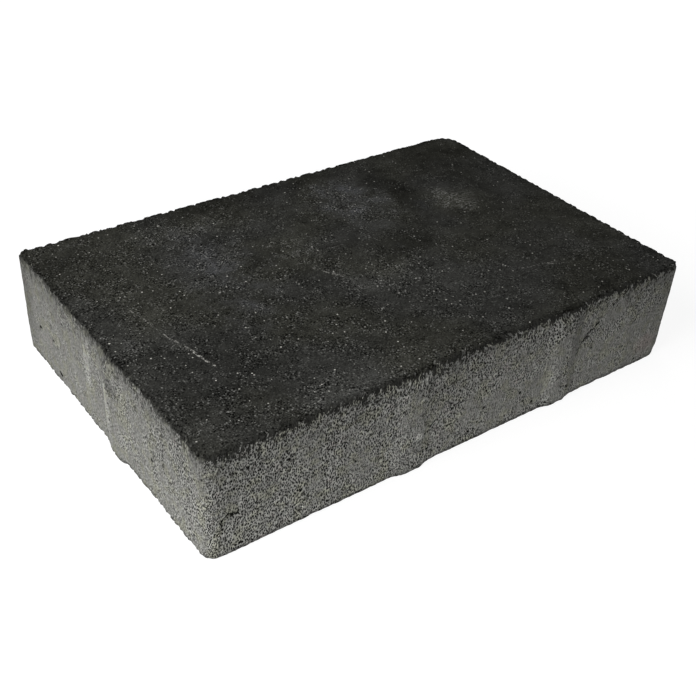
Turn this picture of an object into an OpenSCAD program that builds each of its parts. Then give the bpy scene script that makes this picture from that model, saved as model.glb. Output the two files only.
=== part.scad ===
// Concrete patio tile: a thick slab cast in one piece, with upright spacer ribs on its four sides.
// The ribs of opposite sides are staggered, so those of two neighbours pass each other and hold
// an even joint between the slabs.

/* [Slab] */
// Length between the two short sides, without the ribs
slab_length = 298; // [240:1:600]
// Width between the two long sides, without the ribs
slab_width = 198; // [160:1:600]
// Thickness, from the bed to the wearing face
slab_thickness = 60; // [40:1:100]

/* [Edges] */
// Radius of the four upright corners
corner_r = 6; // [4:0.5:12]
// Radius of the arris around the wearing face
top_edge_r = 1.5; // [1:0.5:3.5]
// Radius of the arris around the bed
bed_edge_r = 1.5; // [0.5:0.5:3]

/* [Spacer ribs] */
// How far a rib stands out from its side
rib_proud = 2; // [1:0.5:4]
// Width of a rib at its foot, with both flanks
rib_width = 26; // [18:1:32]
// Width of the flat crest of a rib
rib_crest = 7; // [4:1:12]
// Depth below the wearing face at which a rib has died out
rib_stop = 3; // [3:0.5:8]
// Height over which a rib fades into its side at its top
rib_fade = 6; // [3:0.5:12]
// Distance between the two ribs of a long side
rib_pitch = 100; // [70:5:120]
// Shift of that pair from the middle of the front long side
pair_shift = 14; // [8:1:18]
// Shift of the one rib of a short side from its middle, towards the front on the left side
lone_shift = 12; // [0:1:20]

/* [Hidden] */
$fn = 96;

// Straight steps that a rib's curved flank, and the curved fade at its top, are drawn with
FLANK_STEPS = 8;
FADE_STEPS = 4;
// Depth of a rib's root inside the slab
ROOT = 6;
CONCRETE = [0.30, 0.30, 0.29];

// An even S-curve from 0 to 1, level at both ends
function ease(t) = (1 - cos(180 * t)) / 2;

// One flank of a rib seen from above, from its foot up to the crest
flank = [for (i = [0 : FLANK_STEPS])
    let (t = i / FLANK_STEPS)
    [-rib_width / 2 + t * (rib_width - rib_crest) / 2, rib_proud * ease(t)]];

// Upright half section from the middle of a body of the given half width out to its side
module half_section(half) {
    square([half - top_edge_r, slab_thickness]);
    translate([0, bed_edge_r])
        square([half, slab_thickness - top_edge_r - bed_edge_r]);
    square([half - bed_edge_r, slab_thickness / 2]);
    translate([half - top_edge_r, slab_thickness - top_edge_r])
        circle(r = top_edge_r);
    translate([half - bed_edge_r, bed_edge_r])
        circle(r = bed_edge_r);
}

// Bar along X with both its long arrises rounded, from face to face of the given width
module rounded_bar(length, width) {
    rotate([90, 0, 90])
        translate([0, 0, -length / 2])
            linear_extrude(length) {
                half_section(width / 2);
                mirror([1, 0]) half_section(width / 2);
            }
}

// The slab without ribs: two crossed bars and a turned post in each corner
module slab() {
    rounded_bar(slab_length - 2 * corner_r, slab_width);
    rotate([0, 0, 90])
        rounded_bar(slab_width - 2 * corner_r, slab_length);
    for (x = [-1, 1], y = [-1, 1])
        translate([x * (slab_length / 2 - corner_r), y * (slab_width / 2 - corner_r), 0])
            rotate_extrude() half_section(corner_r);
}

// Outline of a rib seen from above: its side of the slab lies on Y = 0 and it stands out along +Y
module rib_plan() {
    polygon(concat([[-rib_width / 2, -ROOT]], flank,
        [for (i = [FLANK_STEPS : -1 : 0]) [-flank[i].x, flank[i].y]],
        [[rib_width / 2, -ROOT]]));
}

// Outline of a rib seen from its flank, as [outwards, up]
module rib_side() {
    top = slab_thickness - rib_stop;
    polygon(concat(
        [[-ROOT, 0], [rib_proud - bed_edge_r, 0], [rib_proud, bed_edge_r]],
        [for (i = [0 : FADE_STEPS])
            let (t = i / FADE_STEPS)
            [rib_proud * ease(1 - t), top - rib_fade * (1 - t)]],
        [[-ROOT, top]]));
}

module rib() {
    intersection() {
        linear_extrude(slab_thickness) rib_plan();
        rotate([90, 0, 90])
            translate([0, 0, -rib_width])
                linear_extrude(2 * rib_width) rib_side();
    }
}

// The ribs of the front and left sides; the other two sides have the same, turned half round
module ribs_of_two_sides() {
    for (side = [-1, 1])
        translate([pair_shift + side * rib_pitch / 2, -slab_width / 2, 0])
            rotate([0, 0, 180]) rib();
    translate([-slab_length / 2, -lone_shift, 0])
        rotate([0, 0, 90]) rib();
}

module patio_tile() {
    color(CONCRETE) {
        slab();
        for (turn = [0, 180])
            rotate([0, 0, turn]) ribs_of_two_sides();
    }
}

patio_tile();
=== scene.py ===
"""The looks of a concrete patio tile: its cast shape with crumbled arrises and pores, and its finish."""
import math

import bpy
import numpy as np
from mathutils import Euler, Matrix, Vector


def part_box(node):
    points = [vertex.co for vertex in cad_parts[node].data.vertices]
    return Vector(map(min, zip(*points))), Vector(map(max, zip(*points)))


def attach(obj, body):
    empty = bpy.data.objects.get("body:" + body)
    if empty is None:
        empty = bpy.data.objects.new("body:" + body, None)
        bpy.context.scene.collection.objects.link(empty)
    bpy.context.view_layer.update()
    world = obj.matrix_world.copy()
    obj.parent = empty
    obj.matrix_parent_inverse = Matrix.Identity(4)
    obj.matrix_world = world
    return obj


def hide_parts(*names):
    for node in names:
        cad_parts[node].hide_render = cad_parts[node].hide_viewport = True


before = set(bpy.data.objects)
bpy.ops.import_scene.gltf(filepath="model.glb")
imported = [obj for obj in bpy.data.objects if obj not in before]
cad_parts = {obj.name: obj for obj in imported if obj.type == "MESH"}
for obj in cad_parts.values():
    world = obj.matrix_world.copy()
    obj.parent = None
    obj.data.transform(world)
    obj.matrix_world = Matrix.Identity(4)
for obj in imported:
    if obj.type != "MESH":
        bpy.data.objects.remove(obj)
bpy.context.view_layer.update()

MM = 0.001
NODE = "patio_tile"
SEED = 7

# ---------------------------------------------------------------------------------------------
# Sizes of the tile, in millimetres. The outer ones come from the frame.
# ---------------------------------------------------------------------------------------------

box_low, box_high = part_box(NODE)
RIB_PROUD = 2.0
SIZES = {
    "Length": (box_high.x - box_low.x) / MM - 2 * RIB_PROUD,
    "Width": (box_high.y - box_low.y) / MM - 2 * RIB_PROUD,
    "Thickness": (box_high.z - box_low.z) / MM,
    "Corner radius": 6.0,
    "Top arris radius": 1.0,
    "Bed arris radius": 0.7,
    "Rib proud": RIB_PROUD,
    "Rib width": 26.0,
    "Rib crest": 7.0,
    "Rib stop": 3.0,
    "Rib fade": 6.0,
    "Rib pitch": 100.0,
    "Pair shift": 14.0,
    "Lone shift": 12.0,
}
HALF_LENGTH = SIZES["Length"] * 0.5
HALF_WIDTH = SIZES["Width"] * 0.5
THICKNESS = SIZES["Thickness"]


# ---------------------------------------------------------------------------------------------
# Shorthand for node trees
# ---------------------------------------------------------------------------------------------

class Wire:
    """The output of a node. Sums and products of wires add Math nodes to their tree."""

    def __init__(self, tree, socket):
        self.tree = tree
        self.socket = socket

    def math(self, operation, *others):
        return add_node(self.tree, "ShaderNodeMath", dict(enumerate((self, *others))), operation=operation)

    def __add__(self, other):
        return self.math("ADD", other)

    def __sub__(self, other):
        return self.math("SUBTRACT", other)

    def __mul__(self, other):
        return self.math("MULTIPLY", other)

    def __truediv__(self, other):
        return self.math("DIVIDE", other)

    def __rsub__(self, other):
        return (self * -1.0) + other

    __radd__ = __add__
    __rmul__ = __mul__

    def low(self, other):
        return self.math("MINIMUM", other)

    def high(self, other):
        return self.math("MAXIMUM", other)

    def size(self):
        return self.math("ABSOLUTE")

    def over(self, other):
        return self.math("GREATER_THAN", other)

    def power(self, other):
        return self.math("POWER", other)

    def clip(self):
        return self.high(0.0).low(1.0)

    def step(self, start, end):
        """0 before start, 1 after end, and smooth between them."""
        inputs = {0: self, 1: start, 2: end, 3: 0.0, 4: 1.0}
        return add_node(self.tree, "ShaderNodeMapRange", inputs, interpolation_type="SMOOTHSTEP")

    def between(self, start, end):
        """0 before start, 1 after end, and straight between them."""
        return add_node(self.tree, "ShaderNodeMapRange", {0: self, 1: start, 2: end, 3: 0.0, 4: 1.0})


def plug(tree, socket, value):
    """Feed an input from a wire, or set it to a plain value."""
    if isinstance(value, Wire):
        tree.links.new(value.socket, socket)
    else:
        socket.default_value = value


def add_node(tree, kind, inputs=None, output=0, **settings):
    """Add one node with its settings and inputs, and return one of its outputs."""
    node = tree.nodes.new(kind)
    for name, value in settings.items():
        setattr(node, name, value)
    for key, value in (inputs or {}).items():
        plug(tree, node.inputs[key], value)
    return Wire(tree, node.outputs[output])


def pick(condition, yes, no):
    """yes where the condition is 1, no where it is 0."""
    return condition * yes + (1.0 - condition) * no


def split(vector):
    """The X, Y and Z of a place."""
    node = vector.tree.nodes.new("ShaderNodeSeparateXYZ")
    plug(vector.tree, node.inputs[0], vector)
    return [Wire(vector.tree, out) for out in node.outputs]


def join(tree, x, y, z):
    return add_node(tree, "ShaderNodeCombineXYZ", {0: x, 1: y, 2: z})


def vector_math(operation, first, second):
    key = "Scale" if operation == "SCALE" else 1
    return add_node(first.tree, "ShaderNodeVectorMath", {0: first, key: second}, operation=operation)


def length_of(vector):
    return add_node(vector.tree, "ShaderNodeVectorMath", {0: vector}, output="Value", operation="LENGTH")


def noise(place, grain, detail=2.0, roughness=0.5, seed=0, stretch=(1, 1, 1)):
    """Noise from 0 to 1 whose lumps are about grain millimetres across, drawn out by stretch."""
    squeezed = vector_math("MULTIPLY", place, tuple(1.0 / (grain * s) for s in stretch))
    shifted = vector_math("ADD", squeezed, (13.7 * (seed + SEED), 5.1 * seed, 9.3 * seed))
    inputs = {"Vector": shifted, "Scale": 1.0, "Detail": detail, "Roughness": roughness}
    return add_node(place.tree, "ShaderNodeTexNoise", inputs)


def cells(place, grain, seed=0, stretch=(1, 1, 1), flat=False):
    """Distance to the nearest of a scatter of points, in millimetres, and a random number for each."""
    tree = place.tree
    squeezed = vector_math("MULTIPLY", place, tuple(1.0 / (grain * s) for s in stretch))
    shifted = vector_math("ADD", squeezed, (3.3 * (seed + SEED), 21.7 * seed, 6.1 * seed))
    node = tree.nodes.new("ShaderNodeTexVoronoi")
    node.voronoi_dimensions = "2D" if flat else "3D"
    plug(tree, node.inputs["Vector"], shifted)
    node.inputs["Scale"].default_value = 1.0
    lot = split(Wire(tree, node.outputs["Color"]))[0]
    return Wire(tree, node.outputs["Distance"]) * grain, lot


# ---------------------------------------------------------------------------------------------
# The cage: a closed box of small faces, finer near its arrises and coarser on the bed and the top
# ---------------------------------------------------------------------------------------------

STEP = 1.03         # on the sides
FINE_STEP = 0.6     # within the rim along the arrises
RIM = 3.0
COARSE = 2          # steps of the grid to one face in the middle of the bed and of the top


def graded(length):
    """Grid lines from 0 to length with fine steps in the rim at both ends."""
    rim_lines = round(RIM / FINE_STEP)
    middle_lines = COARSE * round((length - 2 * RIM) / STEP / COARSE)
    low_rim = np.linspace(0.0, RIM, rim_lines + 1)[:-1]
    middle = np.linspace(RIM, length - RIM, middle_lines + 1)[:-1]
    high_rim = np.linspace(length - RIM, length, rim_lines + 1)
    return np.concatenate([low_rim, middle, high_rim])


def lid_rings(nx, ny):
    """Corners of the faces of one lid of the box, counterclockwise: single steps of the grid in the rim,
    and two steps both ways inside it, with the rim's corners kept on the shared line."""
    rim = round(RIM / FINE_STEP)
    inside_x = range(rim, nx - rim)
    inside_y = range(rim, ny - rim)
    for i in range(nx):
        for j in range(ny):
            if i not in inside_x or j not in inside_y:
                yield [(i, j), (i + 1, j), (i + 1, j + 1), (i, j + 1)]
    shared_x = (rim, nx - rim)
    shared_y = (rim, ny - rim)
    for i in inside_x[::COARSE]:
        for j in inside_y[::COARSE]:
            ring = [(i, j), (i + 1, j), (i + 2, j), (i + 2, j + 1)]
            ring += [(i + 2, j + 2), (i + 1, j + 2), (i, j + 2), (i, j + 1)]
            yield [(a, b) for n, (a, b) in enumerate(ring) if n % 2 == 0 or a in shared_x or b in shared_y]


def tile_cage():
    """A closed box of the slab's size, standing on the bed."""
    xs = graded(SIZES["Length"]) - SIZES["Length"] / 2
    ys = graded(SIZES["Width"]) - SIZES["Width"] / 2
    zs = graded(SIZES["Thickness"])
    nx, ny, nz = len(xs) - 1, len(ys) - 1, len(zs) - 1
    numbers = {}
    points = []

    def at(i, j, k):
        if (i, j, k) not in numbers:
            numbers[i, j, k] = len(points)
            points.append((xs[i] * MM, ys[j] * MM, zs[k] * MM))
        return numbers[i, j, k]

    faces = []
    for ring in lid_rings(nx, ny):
        faces.append([at(i, j, nz) for i, j in ring])
        faces.append([at(i, j, 0) for i, j in reversed(ring)])
    for k in range(nz):
        for i in range(nx):
            faces.append((at(i, 0, k), at(i + 1, 0, k), at(i + 1, 0, k + 1), at(i, 0, k + 1)))
            faces.append((at(i + 1, ny, k), at(i, ny, k), at(i, ny, k + 1), at(i + 1, ny, k + 1)))
        for j in range(ny):
            faces.append((at(0, j + 1, k), at(0, j, k), at(0, j, k + 1), at(0, j + 1, k + 1)))
            faces.append((at(nx, j, k), at(nx, j + 1, k), at(nx, j + 1, k + 1), at(nx, j, k + 1)))
    mesh = bpy.data.meshes.new("tile_cage")
    mesh.from_pydata(points, [], faces)
    mesh.update()
    return mesh


# ---------------------------------------------------------------------------------------------
# The cast shape, made by Geometry Nodes on the cage
# ---------------------------------------------------------------------------------------------

RIB_DEPTH = 6.0         # how far inwards of the side a rib's lift fades out on the bed
FAR = 1000.0            # added to the distance to an arris from the other half of the tile


def read_attribute(tree, name):
    return add_node(tree, "GeometryNodeInputNamedAttribute", {"Name": name}, data_type="FLOAT")


def store(tree, geometry, **values):
    """Keep fields on the points of the mesh under their names."""
    for name, value in values.items():
        inputs = {"Geometry": geometry, "Name": name, "Value": value}
        geometry = add_node(
            tree, "GeometryNodeStoreNamedAttribute", inputs, data_type="FLOAT", domain="POINT")
    return geometry


def place_mm(tree):
    return vector_math("SCALE", add_node(tree, "GeometryNodeInputPosition"), 1.0 / MM)


def rounded_place(tree, size):
    """Where each point of the sharp box lies on the slab, with its arrises and corners rounded and its
    ribs raised. Also marks: the lines of the ribs, and how far it is to the top and the bed arris."""
    x, y, z = split(place_mm(tree))
    side_x = x.math("SIGN")
    side_y = y.math("SIGN")
    half_x = size["Length"] * 0.5
    half_y = size["Width"] * 0.5
    in_x = half_x - x.size()
    in_y = half_y - y.size()
    inwards = in_x.low(in_y)
    upper = z.over(size["Thickness"] * 0.5)
    radius = pick(upper, size["Top arris radius"], size["Bed arris radius"])
    depth = pick(upper, size["Thickness"] - z, z)

    turn = ((inwards / radius).low(1.0) * -1.0 + 1.0 + (depth / radius).low(1.0)) * (math.pi / 4)
    inset = radius * (1.0 - turn.math("SINE")) + (inwards - radius).high(0.0)
    sink = radius * (1.0 - turn.math("COSINE")) + (depth - radius).high(0.0)
    new_z = pick(upper, size["Thickness"] - sink, sink)

    corner_r = size["Corner radius"]
    past_x = (corner_r - in_x).high(0.0)
    past_y = (corner_r - in_y).high(0.0)
    in_corner = past_x.over(0.0) * past_y.over(0.0)
    reach = (corner_r - inset) / (past_x * past_x + past_y * past_y).math("SQRT").high(1e-6)
    short_side = in_y.over(in_x)
    flat_x = pick(short_side, half_x - inset, x.size())
    flat_y = pick(short_side, y.size(), half_y - inset)
    plan_x = side_x * pick(in_corner, half_x - corner_r + past_x * reach, flat_x)
    plan_y = side_y * pick(in_corner, half_y - corner_r + past_y * reach, flat_y)

    from_middle_of_pair = (plan_x * side_y * -1.0 - size["Pair shift"]).size()
    from_rib_of_pair = (from_middle_of_pair - size["Rib pitch"] * 0.5).size()
    from_lone_rib = (plan_y * side_x * -1.0 + size["Lone shift"]).size()
    from_rib = pick(short_side, from_lone_rib, from_rib_of_pair)
    flank = (size["Rib width"] - size["Rib crest"]) * 0.5
    across = ((size["Rib width"] * 0.5 - from_rib) / flank).step(0.0, 1.0)
    upwards = ((size["Thickness"] - size["Rib stop"] - new_z) / size["Rib fade"]).step(0.0, 1.0)
    under = 1.0 - (inwards / RIB_DEPTH).low(1.0)
    raised = across.low(upwards) * under * size["Rib proud"]
    new_x = plan_x + side_x * short_side * raised
    new_y = plan_y + side_y * (1.0 - short_side) * raised
    along = inwards + depth
    marks = {
        "rib_line": across * under,
        "to_top_arris": pick(upper, along, along + FAR),
        "to_bed_arris": pick(upper, along + FAR, along),
    }
    return join(tree, new_x, new_y, new_z), marks


def short_side_mark(x, y, size):
    """1 on the two short sides and 0 on the long ones."""
    return (x.size() - y.size()).over((size["Length"] - size["Width"]) * 0.5)


def nearness(place, centre, reach):
    """1 at the centre, falling straight to 0 at the given reach along X, Y and Z."""
    off = vector_math("DIVIDE", vector_math("SUBTRACT", place, centre), reach)
    return (1.0 - length_of(off)).high(0.0)


def dent(place, centre, reach, depth):
    """A pit with a sharp rim: its reach along X, Y and Z, and its depth, in millimetres."""
    return nearness(place, centre, reach).math("SQRT") * depth


def wear(place, centre, reach, depth):
    """A place rubbed away without a rim: its reach along X, Y and Z, and its depth, in millimetres."""
    return nearness(place, centre, reach).power(1.5) * depth


def total_of(wires):
    total = 0.0
    for wire in wires:
        total = wire + total
    return total


# Depths of the relief, in millimetres
SWAY = 1.0              # the sides as a whole
LUMPS = 0.5
DRAG = 0.4              # upright lines left by the mould
FACE_GRAIN = 0.3
BED_TEARS = 2.2
PORES = 1.7
TEETH = 0.95            # small crumbs along the top arris
BITES = 0.7             # wider ones

# Hollows in the sides: centre, reach and depth
HOLLOWS = [
    ((-135.5, -99.0, 23.2), (2.4, 3.0, 1.0), 0.9),
    ((-24.0, -99.0, 40.0), (2.6, 3.0, 2.6), 0.5),
    ((-149.0, 80.0, 21.0), (3.0, 1.6, 1.2), 0.8),
    ((-149.0, 63.5, 23.0), (3.0, 1.2, 1.0), 0.8),
    ((-149.0, 56.5, 3.5), (3.0, 1.8, 1.4), 1.0),
    ((-149.0, -52.5, 40.0), (3.0, 1.6, 0.8), 0.7),
    ((-149.0, -49.5, 22.0), (3.0, 1.0, 1.0), 0.8),
]

# Corners worn by handling, or fuller than the rest: place, reach and depth of the wear
WORN_CORNERS = [
    ((147.0, -97.0, 0.0), (8.0, 8.0, 9.0), 1.5),
    ((147.0, 97.0, 0.0), (8.0, 8.0, 8.0), 1.6),
    ((147.0, 97.0, 58.0), (9.0, 9.0, 26.0), 1.5),
    ((-147.0, -97.0, 0.0), (6.0, 6.0, 5.0), 0.6),
    ((-147.0, 97.0, 30.0), (7.0, 7.0, 200.0), -1.8),
    ((147.0, -97.0, 50.0), (6.0, 6.0, 60.0), -0.8),
]


def relief(tree, size, place, normal):
    """How far the cast surface lies below the smooth one, in millimetres, and its marks."""
    up = split(normal)[2]
    wall = 1.0 - (up.size() * 1.3).low(1.0)
    top = up.step(0.4, 0.95)
    bed = (up * -1.0).step(0.4, 0.95)
    to_top = read_attribute(tree, "to_top_arris")
    to_bed = read_attribute(tree, "to_bed_arris")

    sway = (noise(place, 40.0, detail=1.0, seed=1) - 0.5) * wall * SWAY
    lumps = (noise(place, 3.2, detail=2.0, roughness=0.6, seed=2) - 0.5) * wall * LUMPS
    drag = (noise(place, 2.0, detail=1.0, seed=3, stretch=(1, 1, 5)) - 0.5) * wall * DRAG
    grain = noise(place, 2.2, detail=2.0, roughness=0.65, seed=7) * top * FACE_GRAIN
    tears = noise(place, 3.5, detail=3.0, roughness=0.65, seed=8) - 0.42
    torn_bed = tears * bed * to_bed.step(0.5, 6.0) * BED_TEARS

    spot, lot = cells(place, 8.5, seed=4)
    pore_r = (lot - 0.66).high(0.0) * (wall * 4.4 + bed * 6.0)
    pore = (1.0 - spot / pore_r.high(0.01)).high(0.0).math("SQRT") * (lot - 0.4) * PORES
    pores = pore * pore_r.over(0.3)

    top_arris = 1.0 - to_top.step(0.6, 3.4)
    bed_arris = 1.0 - to_bed.step(0.0, 3.0)
    teeth = noise(place, 3.2, detail=2.0, roughness=0.6, seed=5).step(0.44, 0.56)
    bites = (noise(place, 9.0, detail=1.0, seed=6) - 0.52).high(0.0) * 4.0
    x, y, _ = split(place)
    calm = 1.0 - (x + y * 0.5).between(60.0, 140.0) * 0.5
    crumb = (teeth * TEETH + bites * BITES) * top_arris * calm
    on_short_side = short_side_mark(x, y, size)
    bed_crumb = (teeth * (on_short_side * 0.5 + 0.2) + bites * (BITES * 0.5)) * bed_arris

    hollows = total_of(dent(place, *hollow) for hollow in HOLLOWS)
    worn = total_of(wear(place, *corner) for corner in WORN_CORNERS)
    total = sway + lumps + drag + grain + torn_bed + pores + crumb + bed_crumb + hollows + worn
    marks = {
        "pore": pores + hollows,
        "near_top": 1.0 - to_top.step(1.5, 3.8),
        "near_bed": 1.0 - to_bed.step(0.8, 3.0),
        "under": bed,
    }
    return total, marks


def set_place(geometry, place):
    """Move the points to a place in millimetres."""
    inputs = {"Geometry": geometry, "Position": vector_math("SCALE", place, MM)}
    return add_node(geometry.tree, "GeometryNodeSetPosition", inputs)


def kept_in_box(tree, geometry, size):
    """Hold back what the relief lifts past the crests of the ribs, the bed or the wearing face."""
    x, y, z = split(place_mm(tree))
    reach_x = size["Length"] * 0.5 + size["Rib proud"]
    reach_y = size["Width"] * 0.5 + size["Rib proud"]
    held_x = x.low(reach_x).high(reach_x * -1.0)
    held_y = y.low(reach_y).high(reach_y * -1.0)
    held_z = z.low(size["Thickness"]).high(0.0)
    return set_place(geometry, join(tree, held_x, held_y, held_z))


def slab_tree(material):
    """The node group that turns the cage into the cast tile."""
    tree = bpy.data.node_groups.new("Cast tile", "GeometryNodeTree")
    tree.interface.new_socket("Geometry", in_out="INPUT", socket_type="NodeSocketGeometry")
    for name in SIZES:
        tree.interface.new_socket(name, in_out="INPUT", socket_type="NodeSocketFloat")
    tree.interface.new_socket("Geometry", in_out="OUTPUT", socket_type="NodeSocketGeometry")
    entry = tree.nodes.new("NodeGroupInput")
    size = {name: Wire(tree, entry.outputs[name]) for name in SIZES}
    geometry = Wire(tree, entry.outputs["Geometry"])

    place, marks = rounded_place(tree, size)
    geometry = store(tree, geometry, **marks)
    smooth = set_place(geometry, place)

    normal = add_node(tree, "GeometryNodeInputNormal")
    below, marks = relief(tree, size, place_mm(tree), normal)
    rough = store(tree, smooth, **marks)
    offset = vector_math("SCALE", normal, below * -MM)
    rough = add_node(tree, "GeometryNodeSetPosition", {"Geometry": rough, "Offset": offset})
    rough = kept_in_box(tree, rough, size)
    for name in ("to_top_arris", "to_bed_arris"):
        rough = add_node(tree, "GeometryNodeRemoveAttribute", {"Geometry": rough, "Name": name})
    rough = add_node(tree, "GeometryNodeSetShadeSmooth", {"Geometry": rough})
    real = add_node(tree, "GeometryNodeRealizeInstances", {"Geometry": rough})
    dressed = add_node(tree, "GeometryNodeSetMaterial", {"Geometry": real, "Material": material})
    leave = tree.nodes.new("NodeGroupOutput")
    plug(tree, leave.inputs["Geometry"], dressed)
    return tree


def cast_tile(material):
    """The whole tile as one plain closed mesh."""
    tile = bpy.data.objects.new("cast_tile", tile_cage())
    bpy.context.scene.collection.objects.link(tile)
    modifier = tile.modifiers.new("Cast tile", "NODES")
    modifier.node_group = slab_tree(material)
    for item in modifier.node_group.interface.items_tree:
        if item.in_out == "INPUT" and item.name in SIZES:
            modifier[item.identifier] = SIZES[item.name]
    bpy.context.view_layer.update()
    evaluated = tile.evaluated_get(bpy.context.evaluated_depsgraph_get())
    mesh = bpy.data.meshes.new_from_object(evaluated)
    tile.modifiers.clear()
    tile.data = mesh
    mesh.name = "cast_tile"
    return tile


# ---------------------------------------------------------------------------------------------
# Finish
# ---------------------------------------------------------------------------------------------

def colour_mix(amount, first, second):
    """first where the amount is 0, second where it is 1."""
    tree = amount.tree
    node = tree.nodes.new("ShaderNodeMix")
    node.data_type = "RGBA"
    sockets = {socket.identifier: socket for socket in (*node.inputs, *node.outputs)}
    plug(tree, sockets["Factor_Float"], amount)
    plug(tree, sockets["A_Color"], first)
    plug(tree, sockets["B_Color"], second)
    return Wire(tree, sockets["Result_Color"])


def tint(colour, strength):
    """A colour made lighter or darker by a factor."""
    return vector_math("SCALE", colour, strength)


def shader_attribute(tree, name):
    return add_node(tree, "ShaderNodeAttribute", output="Fac", attribute_name=name)


RAW_GREY = (0.436, 0.436, 0.409, 1.0)
OLIVE_GREY = (0.444, 0.444, 0.376, 1.0)
PINK_GREY = (0.470, 0.428, 0.400, 1.0)
# Painted shade for the slits, pits, pinholes and cracks of the sides
HOLLOW_SHADE_GREY = (0.013, 0.013, 0.012, 1.0)
# Dark slurry, also used as painted shade over the tops of the ribs
SLURRY_GREY_AND_RIB_SHADE = (0.034, 0.034, 0.031, 1.0)
ANTHRACITE = (0.0370, 0.0372, 0.0345, 1.0)
BLUE_BLACK = (0.0380, 0.0388, 0.0425, 1.0)
OLIVE_BLACK = (0.0355, 0.0355, 0.0300, 1.0)
FLECK = (0.300, 0.300, 0.285, 1.0)
GRIT = (0.55, 0.54, 0.50, 1.0)

# Sizes of the finish, in millimetres
ALL_HEIGHTS = 60.0      # a reach along Z so long that height hardly counts
FACE_SAND = 1.05        # pitch of the grains in the wearing face
SIDE_SAND = 0.78        # pitch of the grains across the sides
SPECK = 0.19            # radius of the smallest speck in the wearing face
SPECK_SPREAD = 0.30     # and how much larger the largest is
SLIT = 0.145            # radius of the smallest slit between the grains of the sides
SLIT_SPREAD = 0.21      # and how much larger the largest is
CRACK_DEPTH = 4.0       # how far below its side a crack can still be seen
RIM_DROP = 0.8          # how far the dark face comes down over the sides
RIB_DROP = 1.2          # and how much further on the ribs
BUMP_DEPTH = 0.9

# Strengths of the finish
SIDE_STRETCH = 2.1      # how much longer than wide the grains of the sides are
ANOTHER_LOT = 37.0      # draws a second number from a grain's own one
FACE_CONTRAST = 4.0
BED_PAINTED_SHADE = 0.5          # painted shade: darkening of the sides along the bed
PORE_SHADE = 0.6
ROUGHNESS = 0.9

# Clouds in the wearing face: middle and reach along X and Y, how much paler, and how much bluer
CLOUDS = [
    ((35.0, 52.0), (38.0, 46.0), 0.50, 0.60),
    ((-66.0, 36.0), (38.0, 46.0), 0.35, 0.50),
    ((-75.0, -10.0), (30.0, 34.0), 0.10, 0.40),
    ((91.0, 24.0), (13.0, 20.0), 0.80, 0.05),
    ((72.0, 32.0), (16.0, 12.0), 0.25, 0.40),
    ((-2.0, -20.0), (26.0, 22.0), 0.35, -0.60),
    ((-20.0, 28.0), (24.0, 30.0), 0.40, 0.10),
    ((-70.0, 74.0), (50.0, 20.0), 0.35, 0.20),
    ((-60.0, -92.0), (60.0, 20.0), 0.35, 0.00),
    ((30.0, -30.0), (50.0, 30.0), 0.20, 0.00),
    ((-115.0, 0.0), (22.0, 60.0), 0.10, -0.50),
    ((67.0, 50.0), (16.0, 56.0), -0.45, 0.00),
    ((38.0, -2.0), (24.0, 16.0), -0.30, 0.20),
    ((-44.0, 26.0), (13.0, 16.0), -0.40, 0.00),
    ((-58.0, 58.0), (15.0, 13.0), -0.35, 0.00),
    ((-20.0, 92.0), (100.0, 14.0), -0.35, 0.00),
    ((120.0, 70.0), (40.0, 50.0), -0.25, 0.00),
    ((-140.0, 70.0), (24.0, 34.0), -0.20, 0.00),
    ((-112.0, -52.0), (50.0, 56.0), -0.28, -0.10),
    ((110.0, -84.0), (50.0, 24.0), -0.20, 0.00),
]

# A rubbed place in the wearing face, smeared along X: middle and reach
SMUDGE = ((91.0, 24.0), (15.0, 19.0))

# Pale scratches in the wearing face: start, end, width and strength
SCRATCHES = [
    ((-125.0, 20.0), (-120.7, 1.8), 0.35, 0.30),
    ((-122.6, 8.0), (-119.1, -16.3), 0.35, 0.40),
    ((-119.1, -16.3), (-116.4, -27.7), 0.5, 0.55),
    ((-118.8, -14.0), (-113.8, -33.0), 0.3, 0.40),
    ((-116.4, -27.7), (-112.0, -45.4), 0.6, 0.65),
    ((-115.2, -30.0), (-113.2, -42.0), 0.5, 0.65),
    ((-24.0, 2.0), (-17.0, -12.0), 1.4, 0.35),
    ((70.0, -56.0), (92.0, -61.0), 0.6, 0.35),
    ((117.0, 56.0), (124.0, 64.0), 0.5, 0.3),
    ((84.0, -60.0), (98.0, -66.0), 0.6, 0.3),
]

# Dark cracks in the front: start and end along X and Z, width and strength
FRONT_CRACKS = [
    ((-141.8, 17.0), (-141.0, 22.0), 0.6, 0.9),
    ((-141.0, 22.0), (-138.2, 24.6), 0.5, 0.9),
    ((-138.2, 24.6), (-136.4, 23.4), 0.7, 1.0),
    ((-136.6, 23.0), (-133.6, 22.8), 0.7, 1.0),
    ((-99.0, 12.4), (-96.4, 12.2), 0.5, 0.7),
    ((76.4, 33.4), (81.4, 35.8), 1.1, 1.0),
    ((82.2, 38.2), (88.2, 42.2), 1.0, 1.0),
    ((75.0, 27.0), (76.0, 31.0), 0.9, 0.8),
]

# Dark cracks in the left end: start and end along Y and Z, width and strength
END_CRACKS = [
    ((-62.8, 54.0), (-61.9, 26.0), 0.5, 0.8),
    ((-51.5, 42.5), (-53.8, 41.0), 0.5, 0.8),
]


def warped(place, grain, reach, seed):
    """The place pushed about by up to half the reach, in lumps of the given grain."""
    tree = place.tree
    squeezed = vector_math("SCALE", place, 1.0 / grain)
    shifted = vector_math("ADD", squeezed, (7.7 * seed, 3.9 * seed, 1.3 * seed))
    inputs = {"Vector": shifted, "Scale": 1.0, "Detail": 2.0}
    push = add_node(tree, "ShaderNodeTexNoise", inputs, output="Color")
    centred = vector_math("SUBTRACT", push, (0.5, 0.5, 0.5))
    return vector_math("ADD", place, vector_math("SCALE", centred, reach))


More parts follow.
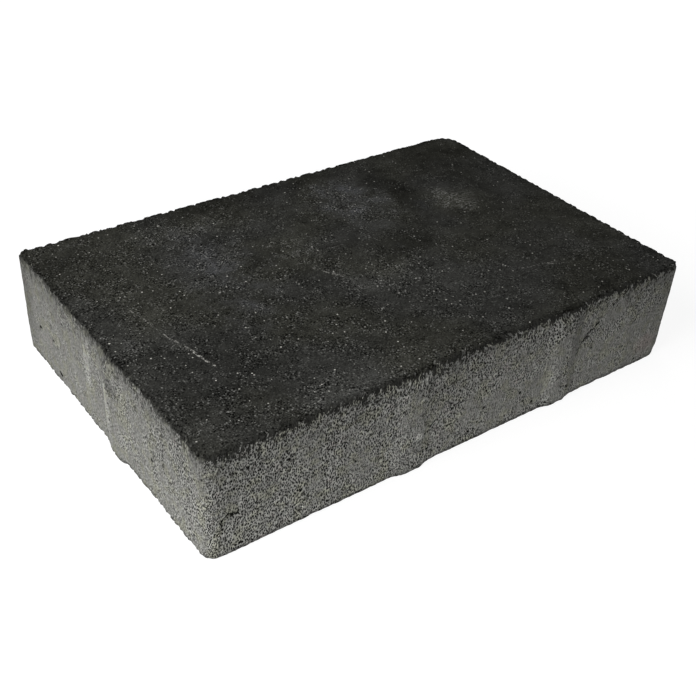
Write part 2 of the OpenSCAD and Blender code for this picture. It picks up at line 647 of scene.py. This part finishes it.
def stroke(flat, start, end, width, strength):
    """A line from start to end over a flat place, whose third coordinate is 0."""
    run = Vector((end[0] - start[0], end[1] - start[1], 0.0))
    off = vector_math("SUBTRACT", flat, (start[0], start[1], 0.0))
    inputs = {0: off, 1: tuple(run / run.length_squared)}
    along = add_node(flat.tree, "ShaderNodeVectorMath", inputs, output="Value", operation="DOT_PRODUCT")
    nearest = vector_math("SCALE", join(flat.tree, run.x, run.y, 0.0), along.clip())
    beside = length_of(vector_math("SUBTRACT", off, nearest))
    return (1.0 - beside.step(width * 0.4, width * 1.4)) * strength


def on_face(drifted, middle, reach):
    """Nearness to a place in the wearing face, at any height."""
    return nearness(drifted, (*middle, THICKNESS), (*reach, ALL_HEIGHTS))


def clouded(place, drifted):
    """The colour of the wearing face with its clouds, and how much paler each place is."""
    lift = 1.0
    blue = -0.15
    for middle, reach, pale, blueness in CLOUDS:
        cloud = on_face(drifted, middle, reach).step(0.0, 0.8)
        lift = cloud * pale + lift
        blue = cloud * blueness + blue
    haze = noise(place, 14.0, detail=6.0, roughness=0.74, seed=12)
    olive = noise(place, 50.0, detail=1.0, seed=17).step(0.4, 0.65)
    colour = colour_mix(olive, OLIVE_BLACK, ANTHRACITE)
    colour = colour_mix((blue + (haze - 0.5) * 2.0).clip(), colour, BLUE_BLACK)
    return tint(colour, lift * (haze * 2.4 - 0.1)), lift


def scratched(place, colour):
    """Pale scratches over the wearing face, broken where they skip."""
    x, y, _ = split(place)
    flat_x, flat_y, _ = split(warped(join(place.tree, x, y, 0.0), 6.0, 1.6, seed=18))
    wavering = join(place.tree, flat_x, flat_y, 0.0)
    lines = total_of(stroke(wavering, *scratch) for scratch in SCRATCHES)
    broken = noise(place, 1.3, detail=2.0, roughness=0.7, seed=19).step(0.48, 0.62)
    return colour_mix((lines * broken).clip(), colour, GRIT)


def wearing_face(place, near_top):
    """Colour and fine height of the anthracite top: cloudy, with dark pits, pale flecks and grit, and
    painted shade in the pits and along the arris.
    """
    drifted = warped(place, 16.0, 26.0, seed=11)
    colour, lift = clouded(place, drifted)

    # The face is harsher at the front left and calmer at the back right
    x, y, _ = split(place)
    harsh = 1.15 - (x + y * 0.8).between(-60.0, 110.0) * 0.62
    open_face = noise(place, 9.0, detail=3.0, roughness=0.6, seed=16).step(0.38, 0.62)
    open_face = (open_face * 0.75 + 0.25) * (harsh + (lift - 1.0).high(0.0) * 0.9)

    # Sand grains: about half of them torn out, their holes painted dark as shade, and a few polished pale
    fine = noise(place, 0.9, detail=1.0, roughness=0.6, seed=15)
    off, lot = cells(place, FACE_SAND, seed=13, flat=True)
    chance = (lot * ANOTHER_LOT).math("FRACT")
    speck_r = lot * SPECK_SPREAD + SPECK
    speck = 1.0 - off.step(speck_r * 0.7, speck_r * 1.2)
    dark = speck * (1.0 - chance.step(0.50, 0.56)) * (open_face * 0.8 + 0.2)
    polish = open_face * 1.2 + (lift - 1.1).high(0.0) * 1.5
    pale = speck * (chance - 0.60).high(0.0).power(2.0) * 3.6 * polish
    mottled = ((fine - 0.5) * FACE_CONTRAST * open_face + 0.96).high(0.1)
    colour = tint(colour, mottled * (1.0 - dark.low(1.0) * 0.92))

    rubbed = on_face(drifted, *SMUDGE).step(0.0, 0.7)
    smears = noise(place, 1.0, detail=2.0, roughness=0.6, seed=38, stretch=(4, 1, 1)).step(0.52, 0.64)
    pale = pale + smears * rubbed * 0.42
    colour = colour_mix(pale.clip(), colour, FLECK)

    # Single pale stones
    near, luck = cells(place, 5.5, seed=14, flat=True)
    grit_r = (luck - 0.62).high(0.0) * 1.4
    grit = (1.0 - near.step(grit_r * 0.6, grit_r)) * grit_r.over(0.12) * (luck * 2.0 - 1.0)
    grit = grit * (harsh * 0.7 + 0.25)
    colour = colour_mix(grit.clip(), colour, GRIT)

    colour = scratched(place, colour)
    # Painted shade: the wearing face darkened in a ragged band along the top arris, where its crumbs would
    # shadow it
    shade = noise(place, 1.3, detail=1.0, seed=20).step(0.40, 0.60) * 0.42 + 0.18
    colour = tint(colour, 1.0 - near_top * shade)
    return colour, fine * 0.6 - dark * 0.5 + pale.low(1.0) * 0.3


# Pits in the sides, painted dark as shade: centre and reach
PITS = [
    ((-132.0, -99.0, 4.0), (1.4, 3.0, 1.2)),
    ((-107.0, -99.0, 41.0), (1.6, 3.0, 1.0)),
    ((-36.0, -99.0, 12.5), (0.9, 3.0, 2.2)),
    ((10.5, -99.0, 19.0), (1.4, 3.0, 1.2)),
    ((70.5, -99.0, 8.5), (2.4, 3.0, 1.0)),
    ((-149.0, 78.0, 24.0), (3.0, 2.0, 1.2)),
    ((-149.0, 60.5, 25.0), (3.0, 1.4, 1.0)),
    ((-149.0, 55.5, 6.5), (3.0, 2.4, 1.8)),
    ((-149.0, -50.0, 24.0), (3.0, 1.2, 1.6)),
    ((-149.0, -3.5, 9.0), (3.0, 2.0, 2.0)),
]

# Paler or darker places on the sides, rubbed or dragged, and painted shade down the back left and front
# right upright corners: centre, reach and strength
RUBS_AND_CORNER_SHADE = [
    ((-150.0, 14.0, 47.0), (9.0, 1.6, 9.0), 0.80),
    ((-150.0, 19.0, 46.0), (9.0, 1.7, 10.0), 0.60),
    ((-150.0, 17.0, 34.0), (9.0, 5.5, 13.0), 0.50),
    ((-150.0, 19.0, 20.0), (9.0, 5.0, 12.0), 0.15),
    ((-150.0, -6.0, 24.0), (9.0, 6.0, 26.0), 0.45),
    ((-150.0, -4.5, 30.0), (9.0, 4.0, 10.0), 0.45),
    ((-150.0, -13.0, 43.0), (9.0, 9.0, 8.0), -0.35),
    # Painted shade down the back left upright corner
    ((-149.0, 98.0, 30.0), (8.0, 16.0, 50.0), -0.28),
    # Painted shade over the right end of the front and its upright corner
    ((148.0, -99.0, 30.0), (40.0, 9.0, 60.0), -0.10),
    ((-149.0, 34.0, 20.0), (4.0, 4.0, 20.0), 0.15),
    ((-33.3, -99.0, 20.9), (2.6, 9.0, 2.6), 1.20),
    ((-34.0, -99.0, 43.0), (1.4, 9.0, 2.0), 0.60),
    ((-98.2, -99.0, 9.6), (1.8, 9.0, 1.6), 1.20),
    ((123.0, -99.0, 23.5), (2.4, 9.0, 1.6), 0.40),
    ((60.0, -99.0, 23.0), (2.0, 9.0, 3.0), 0.35),
]

PINK_PATCH = ((134.0, -99.0, 12.0), (12.0, 6.0, 9.0))


def cracked(place):
    """The dark cracks of the front and of the left end, broken up by noise."""
    x, y, _ = split(place)
    torn_x, torn_y, torn_z = split(warped(place, 1.5, 2.2, seed=35))
    front = join(place.tree, torn_x, torn_z, 0.0)
    end = join(place.tree, torn_y, torn_z, 0.0)
    on_front = (y * -1.0).over(HALF_WIDTH - CRACK_DEPTH)
    on_end = (x * -1.0).over(HALF_LENGTH - CRACK_DEPTH)
    cracks = total_of(stroke(front, *crack) for crack in FRONT_CRACKS) * on_front
    cracks = total_of(stroke(end, *crack) for crack in END_CRACKS) * on_end + cracks
    return cracks * noise(place, 1.1, detail=1.0, seed=36).step(0.36, 0.48)


def scattered(place, pitch, seed, stretch=(1, 1, 1)):
    """Small spots, at a few of the points of a scatter."""
    near, luck = cells(place, pitch, seed=seed, stretch=stretch)
    return (1.0 - near / 0.9).clip() * 3.0 * (luck - 0.88).high(0.0)


def raw_side(place, open_texture_and_grazing_light):
    """Colour and fine height of the raw grey sides: a skin of cement with torn slits between sand grains,
    and painted shade in the slits, pits, pinholes and cracks.
    Also the random number of each grain."""
    drifted = warped(place, 4.0, 3.0, seed=29)
    lift = 1.0
    for centre, reach, pale in RUBS_AND_CORNER_SHADE:
        lift = nearness(drifted, centre, reach).step(0.0, 0.7) * pale + lift
    ragged = warped(place, 1.3, 2.6, seed=33)
    pit = total_of(nearness(ragged, *one).step(0.05, 0.40) for one in PITS)

    # Grains and slits: upright on the sides, which are unrolled into a plane, and round on the bed
    x, y, z = split(place)
    under = shader_attribute(place.tree, "under").over(0.5)
    unrolled = x + x.math("SIGN") * (y + HALF_WIDTH)
    flat = join(place.tree, pick(under, x, unrolled), pick(under, y * SIDE_STRETCH, z), 0.0)
    streak = noise(place, 0.9, detail=1.0, roughness=0.6, seed=24, stretch=(1, 1, 6))
    shaken = warped(flat, 0.9, 0.5, seed=34)
    off, lot = cells(shaken, SIDE_SAND, seed=23, stretch=(1, SIDE_STRETCH, 1), flat=True)
    chance = (lot * ANOTHER_LOT).math("FRACT")
    slit_r = (SLIT + lot * SLIT_SPREAD) * (open_texture_and_grazing_light * 1.1 + 0.15).low(1.0)
    slit = 1.0 - off.step(slit_r * 0.8, slit_r * 1.2)
    # Partly painted shade: the skin darker towards each slit and paler between them, besides real streaks
    # and grain to grain tone
    grains = (off.low(0.45) - 0.28) * 1.8 + (streak - 0.5) * 0.6 + (chance - 0.5) * 0.85
    grains = 0.90 + grains * (0.38 + open_texture_and_grazing_light * 0.52)

    patch = noise(place, 9.0, detail=3.0, roughness=0.6, seed=21)
    colour = colour_mix(patch.step(0.48, 0.62), RAW_GREY, OLIVE_GREY)
    pink = nearness(drifted, *PINK_PATCH).step(0.0, 0.8) + (0.40 - patch).high(0.0) * 5.0
    colour = colour_mix(pink.clip(), colour, PINK_GREY)
    # The sides darker from 14 mm up to 50 mm above the bed
    darker_towards_top = 1.0 - z.between(14.0, 50.0) * 0.20
    drag = noise(place, 1.7, detail=2.0, roughness=0.6, seed=37, stretch=(1, 1, 12))
    dragged = (drag - 0.5) * 0.45 + 1.0
    colour = tint(colour, lift * darker_towards_top * dragged * grains.high(0.1) * (0.80 + open_texture_and_grazing_light * 0.22))
    # Painted shade: the slits, pits and cracks filled with a near-black grey
    colour = colour_mix((slit + pit + cracked(place)).clip(), colour, HOLLOW_SHADE_GREY)
    # Painted shade in the pinholes as well
    pinhole = scattered(place, 3.4, seed=28, stretch=(1, 1, 1.3)) * 9.0
    colour = colour_mix(pinhole.clip(), colour, HOLLOW_SHADE_GREY)
    stone = scattered(place, 5.0, seed=26) * 6.0
    colour = colour_mix(stone.clip() * 0.6, colour, GRIT)
    height = off.low(0.7) * 0.9 + streak * 0.6 - pit * 0.5 - pinhole.clip() * 0.3
    return colour, height, lot


def slurried_and_rib_shaded(place, colour, lot, crumbly, on_short_side, rib_line):
    """Dark slurry on the sides below the wearing face: single grains that thin out downwards, and painted
    shade over the tops of the ribs.
    """
    depth = THICKNESS - split(place)[2]
    chance = (lot * ANOTHER_LOT).math("FRACT")
    smear = noise(place, 3.0, detail=2.0, roughness=0.6, seed=31)
    thick = (depth * -0.38).math("EXPONENT") + (depth * -0.09).math("EXPONENT") * 0.30
    slurry_and_rib_shade = (thick * (smear + 0.4 + rib_line * 0.3) - chance).step(-0.10, 0.10)
    slurry_and_rib_shade = slurry_and_rib_shade * (0.65 - on_short_side * 0.3)
    # The rib_line term here is painted shade over the tops of the ribs, whose upward slope catches the
    # lamps
    slurry_and_rib_shade = slurry_and_rib_shade + crumbly * (0.55 + on_short_side * 0.10 + rib_line * 0.35)
    return colour_mix(slurry_and_rib_shade.clip(), colour, SLURRY_GREY_AND_RIB_SHADE)


def concrete():
    """Anthracite wearing face over raw grey sides, in one material."""
    material = bpy.data.materials.new("cast_concrete")
    material.use_nodes = True
    tree = material.node_tree
    tree.nodes.clear()
    coordinates = add_node(tree, "ShaderNodeTexCoord", output="Object")
    place = vector_math("SCALE", coordinates, 1.0 / MM)
    x, y, z = split(place)
    rib_line = shader_attribute(tree, "rib_line")
    pore = shader_attribute(tree, "pore")
    near_top = shader_attribute(tree, "near_top")
    near_bed = shader_attribute(tree, "near_bed")

    face, face_height = wearing_face(place, near_top)

    # The sides are most open at the front left corner and below the wearing face. The fall from the front
    # left corner, and the lower value on the short sides, are partly painted light: they deepen the
    # painted slit shade and grain contrast where the key lamp grazes the front, and weaken them where it
    # meets the short side square on
    from_open_corner = x + y + (HALF_LENGTH + HALF_WIDTH)
    tightness = noise(place, 12.0, detail=3.0, roughness=0.6, seed=27).step(0.36, 0.64)
    on_short_side = short_side_mark(x, y, SIZES)
    depth = THICKNESS - z
    crumbly = (depth * -0.20).math("EXPONENT")
    open_texture_and_grazing_light = 1.25 - from_open_corner.between(20.0, 250.0) * 0.60 - tightness * 0.7
    open_texture_and_grazing_light = (open_texture_and_grazing_light - on_short_side * 0.45 + crumbly * (0.3 - on_short_side * 0.2)).clip()
    sides, side_height, lot = raw_side(place, open_texture_and_grazing_light)
    sides = slurried_and_rib_shaded(place, sides, lot, crumbly, on_short_side, rib_line)
    # Painted shade along the bed arris, where the sides turn under
    sides = tint(sides, 1.0 - near_bed * BED_PAINTED_SHADE)

    # The ragged line between the two
    wander = noise(place, 2.4, detail=3.0, roughness=0.6, seed=32)
    rim = rib_line * RIB_DROP + RIM_DROP + (wander - 0.5) * 2.0 + (lot - 0.5) * 1.2
    facing = 1.0 - depth.step(rim - 0.3, rim + 0.3)
    colour = colour_mix(facing, sides, face)
    # Painted shade in the pores and hollows of the relief
    colour = tint(colour, 1.0 - pore.low(1.0) * PORE_SHADE)

    bump = tree.nodes.new("ShaderNodeBump")
    bump.inputs["Strength"].default_value = 1.0
    bump.inputs["Distance"].default_value = BUMP_DEPTH * MM
    plug(tree, bump.inputs["Height"], pick(facing, face_height * 0.4, side_height))

    shader = tree.nodes.new("ShaderNodeBsdfPrincipled")
    plug(tree, shader.inputs["Base Color"], colour)
    shader.inputs["Roughness"].default_value = ROUGHNESS
    shader.inputs["Specular IOR Level"].default_value = 0.0
    plug(tree, shader.inputs["Normal"], Wire(tree, bump.outputs["Normal"]))
    output = tree.nodes.new("ShaderNodeOutputMaterial")
    tree.links.new(shader.outputs["BSDF"], output.inputs["Surface"])
    return material


# ---------------------------------------------------------------------------------------------
# Studio
# ---------------------------------------------------------------------------------------------

VIEW_AZIMUTH = -37.70
VIEW_ELEVATION = 35.27
VIEW_ROLL = 3.11
VIEW_DISTANCE = 0.5893
VIEW_AIM = (-0.0008, 0.0008, 0.0)
LENS = 53.35
SENSOR_WIDTH = 36.0
WHITE = (1.0, 1.0, 1.0, 1.0)
WORLD_LEVEL = 0.12
LAMP_AIM = (0.0, 0.0, 0.03)

# Round lamps: name, place, width in metres and power in watts
LAMPS = [
    ("key", (-0.60, -0.10, 0.55), 0.5, 5.6),
    ("fill", (-0.40, -0.95, 0.45), 0.8, 3.1),
    ("back", (0.55, 0.85, 0.35), 0.8, 2.6),
]

FLOOR_HALF = 3.0
FLOOR_GREY = (0.3, 0.3, 0.3, 1.0)
SEEN_FLOOR_GREY = (0.20, 0.20, 0.20, 1.0)
FLOOR_GLOW = 0.88       # near the tile, rising to 1 between the two distances
GLOW_FROM = 0.2
GLOW_TO = 0.5


def add_camera():
    """A camera that looks at the middle of the bed from the front left."""
    azimuth = math.radians(VIEW_AZIMUTH)
    elevation = math.radians(VIEW_ELEVATION)
    level = math.cos(elevation)
    back = Vector((math.sin(azimuth) * level, -math.cos(azimuth) * level, math.sin(elevation)))
    data = bpy.data.cameras.new("camera")
    data.lens = LENS
    data.sensor_width = SENSOR_WIDTH
    camera = bpy.data.objects.new("camera", data)
    bpy.context.scene.collection.objects.link(camera)
    camera.location = Vector(VIEW_AIM) + back * VIEW_DISTANCE
    turned = back.to_track_quat("Z", "Y")
    roll = Euler((0.0, 0.0, math.radians(VIEW_ROLL))).to_quaternion()
    camera.rotation_mode = "QUATERNION"
    camera.rotation_quaternion = turned @ roll
    bpy.context.scene.camera = camera


def add_lamp(name, place, size, power):
    """A round white lamp, turned to the middle of the tile."""
    data = bpy.data.lights.new(name, "AREA")
    data.shape = "DISK"
    data.size = size
    data.energy = power
    lamp = bpy.data.objects.new(name, data)
    bpy.context.scene.collection.objects.link(lamp)
    lamp.location = place
    lamp.rotation_euler = (Vector(place) - Vector(LAMP_AIM)).to_track_quat("Z", "Y").to_euler()


def seen_directly(tree):
    """1 for what the camera sees itself, in a mirror or through glass."""
    path = tree.nodes.new("ShaderNodeLightPath")
    names = ("Is Camera Ray", "Is Glossy Ray", "Is Transmission Ray")
    camera, glossy, through = (Wire(tree, path.outputs[name]) for name in names)
    return camera.high(glossy).high(through)


def add_world():
    """A weak even light, which is white where it is seen itself."""
    world = bpy.data.worlds.new("studio")
    bpy.context.scene.world = world
    world.use_nodes = True
    tree = world.node_tree
    tree.nodes.clear()
    seen = seen_directly(tree)
    background = tree.nodes.new("ShaderNodeBackground")
    background.inputs["Color"].default_value = WHITE
    plug(tree, background.inputs["Strength"], pick(seen, 1.0, WORLD_LEVEL))
    output = tree.nodes.new("ShaderNodeOutputWorld")
    tree.links.new(background.outputs[0], output.inputs["Surface"])


def add_floor():
    """A pale floor that looks white where the lamps reach it and keeps the tile's soft shadow."""
    mesh = bpy.data.meshes.new("floor")
    ends = ((-1, -1), (1, -1), (1, 1), (-1, 1))
    corners = [(x * FLOOR_HALF, y * FLOOR_HALF, 0.0) for x, y in ends]
    mesh.from_pydata(corners, [], [(0, 1, 2, 3)])
    floor = bpy.data.objects.new("floor", mesh)
    bpy.context.scene.collection.objects.link(floor)
    material = bpy.data.materials.new("pale_floor")
    material.use_nodes = True
    tree = material.node_tree
    tree.nodes.clear()
    paint = tree.nodes.new("ShaderNodeBsdfDiffuse")
    glow = tree.nodes.new("ShaderNodeEmission")
    glow.inputs["Color"].default_value = WHITE
    seen = seen_directly(tree)
    away = length_of(add_node(tree, "ShaderNodeTexCoord", output="Object")).step(GLOW_FROM, GLOW_TO)
    plug(tree, glow.inputs["Strength"], seen * (FLOOR_GLOW + away * (1.0 - FLOOR_GLOW)))
    plug(tree, paint.inputs["Color"], colour_mix(seen, FLOOR_GREY, SEEN_FLOOR_GREY))
    both = tree.nodes.new("ShaderNodeAddShader")
    tree.links.new(paint.outputs[0], both.inputs[0])
    tree.links.new(glow.outputs[0], both.inputs[1])
    output = tree.nodes.new("ShaderNodeOutputMaterial")
    tree.links.new(both.outputs[0], output.inputs["Surface"])
    mesh.materials.append(material)


scene = bpy.context.scene
scene.view_settings.view_transform = "Standard"
add_camera()
for lamp in LAMPS:
    add_lamp(*lamp)
add_world()
add_floor()

tile = cast_tile(concrete())
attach(tile, "root")
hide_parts(NODE)
